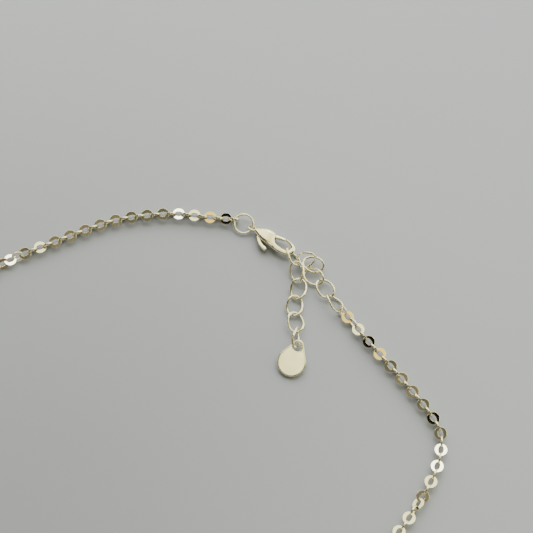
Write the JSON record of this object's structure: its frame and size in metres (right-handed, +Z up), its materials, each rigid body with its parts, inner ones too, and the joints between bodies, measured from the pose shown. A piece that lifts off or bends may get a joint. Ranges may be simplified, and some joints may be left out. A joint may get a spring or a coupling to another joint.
{
  "type": "chain anklet",
  "caption": "Fine link chain anklet fastened by a lobster clasp to an oval-link extension with a teardrop tag.",
  "frame": {"origin": "on the surface the anklet lies on, under the middle of its outline", "axes": "+Z up from the surface, +Y towards the clasp's side of the loop, +X to the extension's side"},
  "size_m": [0.0912, 0.074, 0.0035],
  "materials": {
    "chain_left": "bright warm silver",
    "chain_right": "bright warm silver",
    "jump_ring": "bright warm silver",
    "clasp_body": "polished warm silver",
    "clasp_lever": "bright warm silver",
    "clasp_pin": "bright warm silver",
    "extension_link_1": "bright warm silver",
    "extension_link_2": "bright warm silver",
    "extension_link_3": "bright warm silver",
    "extension_link_4": "bright warm silver",
    "extension_link_5": "bright warm silver",
    "extension_link_6": "bright warm silver",
    "extension_link_7": "bright warm silver",
    "extension_link_8": "bright warm silver",
    "extension_link_9": "bright warm silver",
    "extension_link_10": "bright warm silver",
    "extension_link_11": "bright warm silver",
    "drop_tag": "polished warm silver"
  },
  "bodies": {
    "anklet": {"chain_left": "chain_left", "chain_right": "chain_right", "jump_ring": "jump_ring", "clasp_body": "clasp_body", "clasp_pin": "clasp_pin", "extension_link_1": "extension_link_1", "extension_link_2": "extension_link_2", "extension_link_3": "extension_link_3", "extension_link_4": "extension_link_4", "extension_link_5": "extension_link_5", "extension_link_6": "extension_link_6", "extension_link_7": "extension_link_7", "extension_link_8": "extension_link_8", "extension_link_9": "extension_link_9", "extension_link_10": "extension_link_10", "extension_link_11": "extension_link_11", "drop_tag": "drop_tag"},
    "lever": {"clasp_lever": "clasp_lever"}
  },
  "joints": [
    {"name": "lever_hinge", "type": "hinge", "parent": "anklet", "child": "lever", "pos_m": [0.01296, 0.03186, 0.001], "axis": [0.0444, -0.0277, -0.9986], "range_deg": [0, 16], "stiffness_Nm_per_rad": 0.002, "springref_deg": -20.05}
  ]
}
